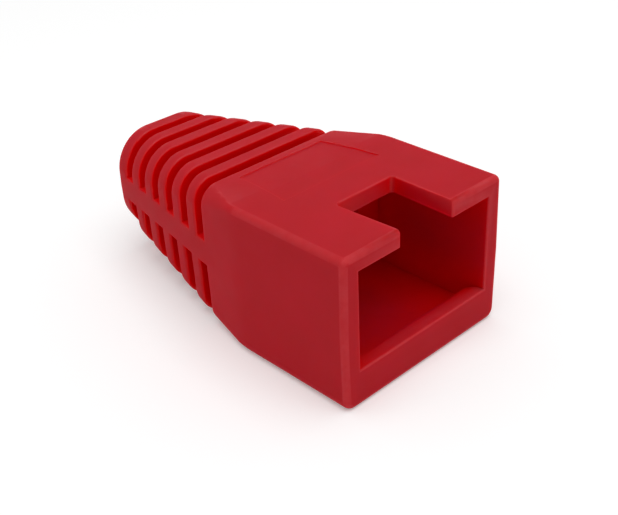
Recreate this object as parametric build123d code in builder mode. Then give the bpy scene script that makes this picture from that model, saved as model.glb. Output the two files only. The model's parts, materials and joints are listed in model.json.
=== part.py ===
"""Slip-on strain relief boot for an eight-way modular plug, moulded in one piece of soft plastic.

The mouth faces +X and the cable leaves at -X. The boot stands on its flat underside at Z = 0,
and the origin is at the bottom centre of its overall box. All sizes are in millimetres.
"""
import os

from build123d import *

# Outer body
overall_length = 26.2
edge_width = 14.3  # across the sides, at their top and bottom edges
parting_bulge = 0.1  # each side stands out by this at half height, where the mould halves met
front_height = 10.65
box_length = 9.5  # parallel part, from the mouth back to the kink where the taper starts
kink_blend = 1.2  # length over which the sides and the top bend at the kink
kink_facets = 5
neck_distance = 13.35  # from the mouth back to the first slot
top_edge_round = 0.45
bottom_edge_round = 0.75
mouth_edge_round = 0.4

# Tail, whose long edges are rounded more and more towards the collar at its end
tail_width = 8.3  # of the end face, across the sides, as edge_width
tail_height = 7.7
neck_top_round = 1.5
neck_bottom_round = 1.55
last_slot_top_round = 2.8
last_slot_bottom_round = 2.05
collar_round = 2.9
collar_edge_round = 0.4
collar_least_length = 1.2
cable_axis_height = 5.65  # also the mid height of the side webs

# Slots that let the tail bend, above and below a web on each side
slot_width = 1.05
ring_thickness = 1.04  # of the rings between the slots
web_height = 1.85

# Plug that the boot slips over
plug_width = 11.68
plug_body_height = 6.6
plug_shoulder_height = 8.0  # the rear of the plug, which the lip hooks behind
plug_side_clearance = 0.08
plug_height_clearance = 0.13

# Socket for the plug
top_wall = 1.15
socket_depth = 9.4
socket_edge_round = 0.12  # where it opens at the mouth
lip_length = 1.1  # retaining lip along the lower edge of the mouth
lip_end_round = 0.9

# Cable passage
cable_diameter = 5.8
cable_clearance = 0.1  # on the radius
entry_diameter = 7.8  # wide end of the cone that guides the cable in from the socket
entry_length = 3.0

# Latch notch in the top wall
notch_length = 5.1
notch_rear_width = 5.1
notch_front_width = 4.75
notch_rear_round = 0.3
notch_mouth_round = 0.15

# Shallow bare label panel in the top face
label_front_distance = 7.8
label_rear_distance = 12.65
label_front_width = 8.55
label_rear_width = 7.4
label_depth = 0.1

# Places and sizes that follow from the ones above
mouth_x = overall_length / 2
tail_x = -overall_length / 2
kink_x = mouth_x - box_length
blend_start_x = kink_x + kink_blend / 2
neck_x = mouth_x - neck_distance
tail_top = cable_axis_height + tail_height / 2
tail_bottom = cable_axis_height - tail_height / 2
socket_width = plug_width + 2 * plug_side_clearance
socket_top = front_height - top_wall
socket_floor = socket_top - plug_shoulder_height - 2 * plug_height_clearance
lip_top = socket_top - plug_body_height - 2 * plug_height_clearance
socket_end_x = mouth_x - socket_depth
bore_radius = cable_diameter / 2 + cable_clearance
slot_pitch = slot_width + ring_thickness
slot_count = int((neck_x - tail_x - collar_least_length + ring_thickness) / slot_pitch)
first_slot_x = neck_x - slot_width / 2
last_slot_x = first_slot_x - slot_pitch * (slot_count - 1)
web_top = cable_axis_height + web_height / 2
web_bottom = cable_axis_height - web_height / 2
label_front_x = mouth_x - label_front_distance
label_rear_x = mouth_x - label_rear_distance


def along_taper(x, in_box, at_tail):
    """A size at x, which stays as in the box up to the kink and then changes evenly to the tail end."""
    past_kink = kink_x - x
    if abs(past_kink) < kink_blend / 2:
        past_kink = (past_kink + kink_blend / 2) ** 2 / (2 * kink_blend)  # parabola that meets both lines
    return in_box + (at_tail - in_box) * max(past_kink, 0) / (kink_x - tail_x)


def cross_section(x, top_round, bottom_round):
    """Outer outline of the boot at x. Its bottom edge rises from the first slot to the tail end."""
    half_width = along_taper(x, edge_width, tail_width) / 2
    top = along_taper(x, front_height, tail_top)
    bottom = tail_bottom * max(first_slot_x - x, 0) / (first_slot_x - tail_x)
    middle = (top + bottom) / 2
    with BuildSketch(Plane.YZ.offset(x)) as section:
        with BuildLine():
            Polyline(
                (-half_width, bottom),
                (half_width, bottom),
                (half_width + parting_bulge, middle),
                (half_width, top),
                (-half_width, top),
                (-half_width - parting_bulge, middle),
                close=True,
            )
        make_face()
        fillet(section.vertices().group_by(Axis.Y)[-1], top_round)
        fillet(section.vertices().group_by(Axis.Y)[0], bottom_round)
    return section.sketch


# Cutter for the label panel: its tapered outline, down to a floor that follows the top face
with BuildPart() as label_cutter:
    with BuildSketch(Plane.XY.offset(web_top)):
        with BuildLine():
            Polyline(
                (label_front_x, -label_front_width / 2),
                (label_front_x, label_front_width / 2),
                (label_rear_x, label_rear_width / 2),
                (label_rear_x, -label_rear_width / 2),
                close=True,
            )
        make_face()
    extrude(amount=front_height)
    with BuildSketch(Plane.XZ):
        with BuildLine():
            Polyline(
                (mouth_x, 0),
                (mouth_x, front_height - label_depth),
                (kink_x, front_height - label_depth),
                (tail_x, tail_top - label_depth),
                (tail_x, 0),
                close=True,
            )
        make_face()
    extrude(amount=edge_width, both=True, mode=Mode.SUBTRACT)

with BuildPart() as boot:
    # Parallel box at the front, then round the kink and down the taper to the last slot
    kink_sections = [
        cross_section(blend_start_x - kink_blend * i / kink_facets, top_edge_round, bottom_edge_round)
        for i in range(kink_facets + 1)
    ]
    neck_section = cross_section(first_slot_x, neck_top_round, neck_bottom_round)
    last_slot_section = cross_section(last_slot_x, last_slot_top_round, last_slot_bottom_round)
    extrude(kink_sections[0], amount=mouth_x - blend_start_x)
    loft(kink_sections + [neck_section, last_slot_section], ruled=True)

    # Collar, from the last slot to the tail end
    loft([cross_section(x, collar_round, collar_round) for x in (last_slot_x, tail_x)], ruled=True)

    fillet(boot.faces().sort_by(Axis.X)[-1].edges(), mouth_edge_round)
    fillet(boot.faces().sort_by(Axis.X)[0].edges(), collar_edge_round)

    # Slots above and below the side webs, right through the tail
    with BuildSketch(Plane.XZ):
        with Locations(((first_slot_x + last_slot_x) / 2, web_top)):
            with GridLocations(slot_pitch, 0, slot_count, 1):
                Rectangle(slot_width, front_height, align=(Align.CENTER, Align.MIN))
        with Locations(((first_slot_x + last_slot_x) / 2, web_bottom)):
            with GridLocations(slot_pitch, 0, slot_count, 1):
                Rectangle(slot_width, front_height, align=(Align.CENTER, Align.MAX))
    extrude(amount=edge_width, both=True, mode=Mode.SUBTRACT)

    # Socket for the plug, open at the mouth
    with BuildSketch(Plane.YZ.offset(socket_end_x)):
        with Locations((0, (socket_floor + socket_top) / 2)):
            Rectangle(socket_width, socket_top - socket_floor)
    extrude(amount=socket_depth, mode=Mode.SUBTRACT)

    # Lip that hooks behind the shoulder of the plug, rounded off where it meets the side walls
    with BuildSketch(Plane.XY.offset(socket_floor)) as lip:
        with Locations((mouth_x - lip_length / 2, 0)):
            Rectangle(lip_length, socket_width)
        fillet(lip.vertices().group_by(Axis.X)[0], lip_end_round)
    extrude(amount=lip_top - socket_floor)
    fillet(boot.faces().sort_by(Axis.X)[-1].inner_wires()[0].edges(), socket_edge_round)

    # Latch notch, with rounded corners at its rear and where it opens at the mouth
    with BuildSketch(Plane.XY.offset(front_height)) as notch:
        with BuildLine():
            Polyline(
                (mouth_x + notch_length, -notch_length),
                (mouth_x + notch_length, notch_length),
                (mouth_x, notch_length),
                (mouth_x, notch_front_width / 2),
                (mouth_x - notch_length, notch_rear_width / 2),
                (mouth_x - notch_length, -notch_rear_width / 2),
                (mouth_x, -notch_front_width / 2),
                (mouth_x, -notch_length),
                close=True,
            )
        make_face()
        fillet(notch.vertices().group_by(Axis.X)[0], notch_rear_round)
        fillet(notch.vertices().group_by(Axis.X)[-2].sort_by(Axis.Y)[1:3], notch_mouth_round)
    extrude(amount=-top_wall, mode=Mode.SUBTRACT)

    # Cable passage: a cone that narrows from the end of the socket, then a straight bore
    with BuildSketch(Plane.XY.offset(cable_axis_height)):
        with BuildLine():
            Polyline(
                (socket_end_x, 0),
                (socket_end_x, entry_diameter / 2),
                (socket_end_x - entry_length, bore_radius),
                (tail_x, bore_radius),
                (tail_x, 0),
                close=True,
            )
        make_face()
    revolve(axis=Axis((0, 0, cable_axis_height), (1, 0, 0)), mode=Mode.SUBTRACT)

    add(label_cutter.part, mode=Mode.SUBTRACT)

boot.part.label = "boot"
os.makedirs("parts", exist_ok=True)
export_step(boot.part, "parts/boot.step")
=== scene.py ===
"""Red strain relief boot on a plain white studio floor, seen from its mouth, left side and top."""
import json
import math

import bmesh
import bpy
from mathutils import Matrix, Vector


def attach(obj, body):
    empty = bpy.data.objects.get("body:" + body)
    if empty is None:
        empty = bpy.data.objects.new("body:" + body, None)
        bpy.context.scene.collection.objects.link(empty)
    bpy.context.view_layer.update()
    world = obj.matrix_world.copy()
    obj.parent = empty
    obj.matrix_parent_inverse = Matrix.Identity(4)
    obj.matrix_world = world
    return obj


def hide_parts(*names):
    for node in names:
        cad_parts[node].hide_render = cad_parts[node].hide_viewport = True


MM = 0.001  # metres
WHITE = (1, 1, 1, 1)

# Camera, in the boot's own frame
CAMERA_PLACE = Vector((46.85, -40.89, 39.76)) * MM
CAMERA_AZIMUTH = math.radians(47.214)
CAMERA_ELEVATION = math.radians(30.997)
CAMERA_ROLL = math.radians(-2.859)
CAMERA_LENS = 59.77  # in millimetres, on a sensor 36 mm wide
CAMERA_NEAREST = 5 * MM

# Light: the share of white that the sky and the lamp each give a surface that faces them
SKY_LEVEL = 0.56
KEY_LEVEL = 0.46
KEY_DIRECTION = (0.2, -0.05, 1.0)
KEY_DISTANCE = 300 * MM
KEY_SIZE = 260 * MM

# Floor
FLOOR_WIDTH = 3000 * MM
FLOOR_WHITE = 0.9
FLOOR_GLOW = 0.22  # added for what the camera sees of the floor

# Plastic
PLAIN_RED = (0.455, 0.002, 0.010)
DEEP_RED = (0.425, 0.002, 0.008)
# painted highlight: the paler red of rounded edges that catch the light
PAINTED_HIGHLIGHT_RED = (0.485, 0.024, 0.033)
# painted glow: purer, brighter red laid into the slots, notch and socket for the light that shines through
# the thin plastic
PAINTED_GLOW_RED = (0.62, 0.0, 0.001)
PAINTED_GLOW_REACH = 5 * MM
PAINTED_GLOW_STARTS = 0.97  # share of open space in front of a surface, within that depth
PAINTED_GLOW_FULL = 0.65
SPECULAR_LEVEL = 0.01
HAZE_WEIGHT = 0.04
HAZE_IOR = 4.0  # which reflects about as much at every angle
ROUGHNESS = 0.42
ROUGHNESS_CHANGE = 0.06  # up and down
TRANSLUCENCY = 1.0
RED_GLOW = (1.0, 0.05, 0.05)  # how far red, green and blue light spread inside, as shares of the depth
GLOW_DEPTH = 1.4 * MM
GRAIN_DEPTH = 0.002 * MM

# Noise patterns in the plastic: the scale per millimetre, and how many finer levels are added
# the first pattern breaks up the painted edge highlight
HIGHLIGHT_PATTERN = (1.5, 3)
MOTTLE_PATTERN = (0.35, 2)
FINISH_PATTERN = (0.6, 4)
GRAIN_PATTERN = (9, 2)
PATTERN_SPAN = (0.3, 0.7)  # part of a pattern's range that is stretched over the whole of a look's
HIGHLIGHT_SPAN = (0.35, 0.65)
HIGHLIGHT_LEAST = 0.6  # share of the painted edge highlight that is left where its pattern is weakest

# Rounded edges. Those in front of the rings are rounder on the sides than on top.
RING_SIDE_ROUND = 0.22 * MM
RING_TOP_ROUND = 0.12 * MM
RING_REAR_ROUND = 0.1 * MM
WEB_ROUND = 0.12 * MM
NOTCH_ROUND = 0.12 * MM
LABEL_ROUND = 0.06 * MM
EDGE_SEGMENTS = 3

# Where those edges are: the slots, and the notch and label panel in the top face
SLOTS_START = 0.1 * MM
WALL_LEAST = 0.3 * MM  # of the rings, round the cable passage
TOP_FROM = 10 * MM
NOTCH_FROM = 7 * MM
NOTCH_TO = 12.68 * MM
ALONG_X = 0.99  # least X of the normal of a face that lies across the boot

# How the solid's facets are joined, and which edges count as sharp
WELD_DISTANCE = 0.0001 * MM
FLAT_ANGLE = math.radians(0.1)  # between facets of one flat face
SHARP_ANGLE = math.radians(50)  # past which the mould rounds an edge
CREASE_ANGLE = math.radians(40)  # past which two faces meet in a sharp line

# Painted edge highlight, by the radius to which an edge is rounded
HIGHLIGHT_ATTRIBUTE = "painted_highlight"
NO_HIGHLIGHT_RADIUS = 0.6 * MM
FULL_HIGHLIGHT_RADIUS = 0.4 * MM
LEAST_AREA = 0.003 * MM ** 2  # of a facet that tells how tightly the surface bends
TAIL_FROM = 3.6 * MM
LABEL_REACH = 4.4 * MM  # to each side
SIDEWAYS = 0.3  # Y of the normal from which a surface counts as a side


def softbox(name, direction, distance, size, level):
    """Square area lamp that looks at the origin and gives a surface there its level of white."""
    lamp = bpy.data.lights.new(name, "AREA")
    lamp.shape = "SQUARE"
    lamp.size = size
    lamp.energy = level * math.pi ** 2 * distance ** 2
    box = bpy.data.objects.new(name, lamp)
    back = Vector(direction).normalized()
    box.location = back * distance
    box.rotation_euler = back.to_track_quat("Z", "Y").to_euler()
    bpy.context.collection.objects.link(box)


def add_camera():
    """Camera with the place, turn and lens of the photograph's."""
    back = Vector((math.sin(CAMERA_AZIMUTH) * math.cos(CAMERA_ELEVATION),
                   -math.cos(CAMERA_AZIMUTH) * math.cos(CAMERA_ELEVATION),
                   math.sin(CAMERA_ELEVATION)))
    right = Vector((math.cos(CAMERA_AZIMUTH), math.sin(CAMERA_AZIMUTH), 0))
    up = back.cross(right)
    level = Matrix((right, up, back)).transposed()
    turn = level @ Matrix.Rotation(CAMERA_ROLL, 3, "Z")
    data = bpy.data.cameras.new("camera")
    data.lens = CAMERA_LENS
    data.clip_start = CAMERA_NEAREST
    camera = bpy.data.objects.new("camera", data)
    camera.matrix_world = Matrix.Translation(CAMERA_PLACE) @ turn.to_4x4()
    bpy.context.collection.objects.link(camera)
    bpy.context.scene.camera = camera


def seen_directly(nodes, links):
    """Socket that is 1 for what the camera sees, straight or through a reflection or glass."""
    path = nodes.new("ShaderNodeLightPath")
    total = path.outputs["Is Camera Ray"]
    for name in ("Is Glossy Ray", "Is Transmission Ray"):
        larger = nodes.new("ShaderNodeMath")
        larger.operation = "MAXIMUM"
        links.new(total, larger.inputs[0])
        links.new(path.outputs[name], larger.inputs[1])
        total = larger.outputs[0]
    return total


def light_world():
    """White background, with a sky that lights the boot evenly."""
    world = bpy.data.worlds.new("studio")
    world.use_nodes = True
    nodes, links = world.node_tree.nodes, world.node_tree.links
    background = nodes["Background"]
    background.inputs["Color"].default_value = WHITE
    strength = nodes.new("ShaderNodeMapRange")
    strength.inputs["To Min"].default_value = SKY_LEVEL
    strength.inputs["To Max"].default_value = 1
    links.new(seen_directly(nodes, links), strength.inputs["Value"])
    links.new(strength.outputs["Result"], background.inputs["Strength"])
    bpy.context.scene.world = world


def add_floor():
    """Plain white floor that keeps the boot's shadow."""
    mesh = bpy.data.meshes.new("floor")
    half = FLOOR_WIDTH / 2
    corners = [(-half, -half, 0), (half, -half, 0), (half, half, 0), (-half, half, 0)]
    mesh.from_pydata(corners, [], [(0, 1, 2, 3)])
    floor = bpy.data.objects.new("floor", mesh)
    bpy.context.collection.objects.link(floor)
    paper = bpy.data.materials.new("paper")
    paper.use_nodes = True
    nodes, links = paper.node_tree.nodes, paper.node_tree.links
    shader = nodes["Principled BSDF"]
    shader.inputs["Base Color"].default_value = (FLOOR_WHITE, FLOOR_WHITE, FLOOR_WHITE, 1)
    shader.inputs["Roughness"].default_value = 1
    shader.inputs["Specular IOR Level"].default_value = 0
    shader.inputs["Emission Color"].default_value = WHITE
    glow = nodes.new("ShaderNodeMath")
    glow.operation = "MULTIPLY"
    glow.inputs[1].default_value = FLOOR_GLOW
    links.new(seen_directly(nodes, links), glow.inputs[0])
    links.new(glow.outputs[0], shader.inputs["Emission Strength"])
    mesh.materials.append(paper)


def boot_plastic():
    """Satin red soft plastic: translucent, with a fine moulded grain, a painted highlight of paler red along
    the edges and a painted glow of purer red in the recesses.
    """
    plastic = bpy.data.materials.new("boot_plastic")
    plastic.use_nodes = True
    nodes, links = plastic.node_tree.nodes, plastic.node_tree.links
    shader = nodes["Principled BSDF"]
    shader.inputs["Specular IOR Level"].default_value = SPECULAR_LEVEL
    shader.inputs["Coat Weight"].default_value = HAZE_WEIGHT
    shader.inputs["Coat IOR"].default_value = HAZE_IOR
    shader.inputs["Coat Roughness"].default_value = ROUGHNESS
    shader.inputs["Subsurface Weight"].default_value = TRANSLUCENCY
    shader.inputs["Subsurface Radius"].default_value = RED_GLOW
    shader.inputs["Subsurface Scale"].default_value = GLOW_DEPTH

    place = nodes.new("ShaderNodeTexCoord").outputs["Object"]

    def noise(scale, detail):
        """Noise from 0 to 1 that is fixed to the boot."""
        texture = nodes.new("ShaderNodeTexNoise")
        texture.inputs["Scale"].default_value = scale / MM
        texture.inputs["Detail"].default_value = detail
        links.new(place, texture.inputs["Vector"])
        return texture.outputs["Fac"]

    def ramp(value, span, result):
        """The value, with its span stretched over the result's and held at the ends."""
        mapped = nodes.new("ShaderNodeMapRange")
        for name, number in zip(("From Min", "From Max", "To Min", "To Max"), (*span, *result)):
            mapped.inputs[name].default_value = number
        links.new(value, mapped.inputs["Value"])
        return mapped.outputs["Result"]

    def blend(share, first, second):
        """Colour that goes from the first, a colour or a socket, to the second as the share rises."""
        mix = nodes.new("ShaderNodeMix")
        mix.data_type = "RGBA"
        if isinstance(first, tuple):
            mix.inputs["A"].default_value = (*first, 1)
        else:
            links.new(first, mix.inputs["A"])
        mix.inputs["B"].default_value = (*second, 1)
        links.new(share, mix.inputs["Factor"])
        return mix.outputs["Result"]

    # Edges: painted highlight where the surface bends most, broken up along their length
    highlight_node = nodes.new("ShaderNodeAttribute")
    highlight_node.attribute_name = HIGHLIGHT_ATTRIBUTE
    edge = nodes.new("ShaderNodeMath")
    edge.operation = "MULTIPLY"
    links.new(highlight_node.outputs["Fac"], edge.inputs[0])
    links.new(ramp(noise(*HIGHLIGHT_PATTERN), HIGHLIGHT_SPAN, (HIGHLIGHT_LEAST, 1)), edge.inputs[1])

    # Recesses: the slots, the notch and the socket, which get a painted glow of purer, brighter red
    open_space = nodes.new("ShaderNodeAmbientOcclusion")
    open_space.only_local = True
    open_space.inputs["Distance"].default_value = PAINTED_GLOW_REACH
    painted_glow = ramp(open_space.outputs["AO"], (PAINTED_GLOW_STARTS, PAINTED_GLOW_FULL), (0, 1))

    # Colour: mottled a little, with a painted glow of purer red in the recesses and a painted highlight of
    # paler red along the edges
    mottled = blend(ramp(noise(*MOTTLE_PATTERN), PATTERN_SPAN, (0, 1)), DEEP_RED, PLAIN_RED)
    with_painted_glow = blend(painted_glow, mottled, PAINTED_GLOW_RED)
    links.new(blend(edge.outputs[0], with_painted_glow, PAINTED_HIGHLIGHT_RED), shader.inputs["Base Color"])

    # Finish: satin, a little uneven
    roughness_span = (ROUGHNESS - ROUGHNESS_CHANGE, ROUGHNESS + ROUGHNESS_CHANGE)
    links.new(ramp(noise(*FINISH_PATTERN), PATTERN_SPAN, roughness_span), shader.inputs["Roughness"])

    # Relief: a fine grain
    bump = nodes.new("ShaderNodeBump")
    bump.inputs["Distance"].default_value = GRAIN_DEPTH
    links.new(noise(*GRAIN_PATTERN), bump.inputs["Height"])
    links.new(bump.outputs["Normal"], shader.inputs["Normal"])
    return plastic


def edge_round(edge, passage, passage_radius):
    """Radius to which the mould rounds a sharp edge of the outside, or 0 for an edge that stays sharp."""
    middle = (edge.verts[0].co + edge.verts[1].co) / 2
    facing = [face.normal.x for face in edge.link_faces]
    if middle.x < SLOTS_START:
        off_axis = (middle - passage).yz.length
        if off_axis < passage_radius + WALL_LEAST:
            return 0
        if max(facing) > ALONG_X:
            skin = min(edge.link_faces, key=lambda face: abs(face.normal.x))
            return RING_TOP_ROUND + (RING_SIDE_ROUND - RING_TOP_ROUND) * abs(skin.normal.y)
        return RING_REAR_ROUND if min(facing) < -ALONG_X else WEB_ROUND
    if middle.z < TOP_FROM or middle.x > NOTCH_TO:
        return 0
    return NOTCH_ROUND if middle.x > NOTCH_FROM else LABEL_ROUND


def tightness(edge):
    """How tightly the surface bends across an edge between two facets: about 1 over its radius."""
    bend = edge.calc_face_angle_signed()
    areas = [face.calc_area() for face in edge.link_faces]
    if bend > CREASE_ANGLE or min(areas) < LEAST_AREA:
        return 0
    return bend * edge.calc_length() / (sum(areas) / 2)


def gets_highlight(corner):
    """Whether a vertex takes the painted highlight: anywhere on the box, and behind it only where it faces
    up.
    """
    if corner.co.x > TAIL_FROM:
        return True
    by_label = corner.co.x > SLOTS_START and abs(corner.co.y) < LABEL_REACH
    return corner.normal.z > 0 and (by_label or abs(corner.normal.y) < SIDEWAYS)


def mark_highlight(mesh):
    """Stores how much painted highlight each vertex takes, from 0 where the surface is flat to 1 on a
    tightly rounded edge.
    """
    form = bmesh.new()
    form.from_mesh(mesh)
    bends = {edge: tightness(edge) for edge in form.edges}
    painted_highlight = mesh.attributes.new(HIGHLIGHT_ATTRIBUTE, "FLOAT", "POINT")
    for corner in filter(gets_highlight, form.verts):
        tightest = max(bends[edge] for edge in corner.link_edges)
        share = (tightest - 1 / NO_HIGHLIGHT_RADIUS) / (1 / FULL_HIGHLIGHT_RADIUS - 1 / NO_HIGHLIGHT_RADIUS)
        painted_highlight.data[corner.index].value = min(max(share, 0), 1)
    form.free()


def moulded_boot(solid, bore):
    """Copy of the solid boot whose slots, latch notch and label panel have the mould's rounded edges."""
    passage = Vector(bore["pos_m"])
    passage_radius = bore["dims"]["r_mm"] * MM
    form = bmesh.new()
    form.from_mesh(solid.data)
    bmesh.ops.remove_doubles(form, verts=form.verts, dist=WELD_DISTANCE)
    bmesh.ops.dissolve_limit(form, angle_limit=FLAT_ANGLE, verts=form.verts, edges=form.edges)
    share = form.edges.layers.float.new("bevel_weight_edge")
    for edge in form.edges:
        if edge.calc_face_angle_signed() > SHARP_ANGLE:
            edge[share] = edge_round(edge, passage, passage_radius) / RING_SIDE_ROUND
    mesh = bpy.data.meshes.new("boot_moulding")
    form.to_mesh(mesh)
    form.free()
    piece = bpy.data.objects.new("boot_moulding", mesh)
    bpy.context.collection.objects.link(piece)

    rounds = piece.modifiers.new("rounds", "BEVEL")
    rounds.limit_method = "WEIGHT"
    rounds.width = RING_SIDE_ROUND
    rounds.segments = EDGE_SEGMENTS
    rounds.use_clamp_overlap = False
    rounds.loop_slide = False
    rounded = piece.evaluated_get(bpy.context.evaluated_depsgraph_get())
    piece.data = bpy.data.meshes.new_from_object(rounded)
    piece.modifiers.clear()

    mark_highlight(piece.data)
    piece.data.shade_smooth()
    piece.data.set_sharp_from_angle(angle=CREASE_ANGLE)
    flats = piece.modifiers.new("flats", "WEIGHTED_NORMAL")
    flats.keep_sharp = True
    return piece


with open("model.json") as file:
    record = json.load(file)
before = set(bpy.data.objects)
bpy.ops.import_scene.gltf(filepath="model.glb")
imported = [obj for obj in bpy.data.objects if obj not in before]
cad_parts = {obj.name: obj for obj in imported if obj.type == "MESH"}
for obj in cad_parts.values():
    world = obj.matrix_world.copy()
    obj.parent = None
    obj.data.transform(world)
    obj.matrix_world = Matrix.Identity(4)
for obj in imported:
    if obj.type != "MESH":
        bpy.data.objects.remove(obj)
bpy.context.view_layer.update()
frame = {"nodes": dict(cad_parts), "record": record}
bore = next(mount for mount in frame["record"]["mounts"] if mount["name"] == "cable_bore")
boot = moulded_boot(frame["nodes"]["boot"], bore)
boot.data.materials.append(boot_plastic())
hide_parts("boot")
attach(boot, "root")

add_floor()
light_world()
softbox("key", KEY_DIRECTION, KEY_DISTANCE, KEY_SIZE, KEY_LEVEL)
add_camera()
bpy.context.scene.view_settings.view_transform = "Standard"
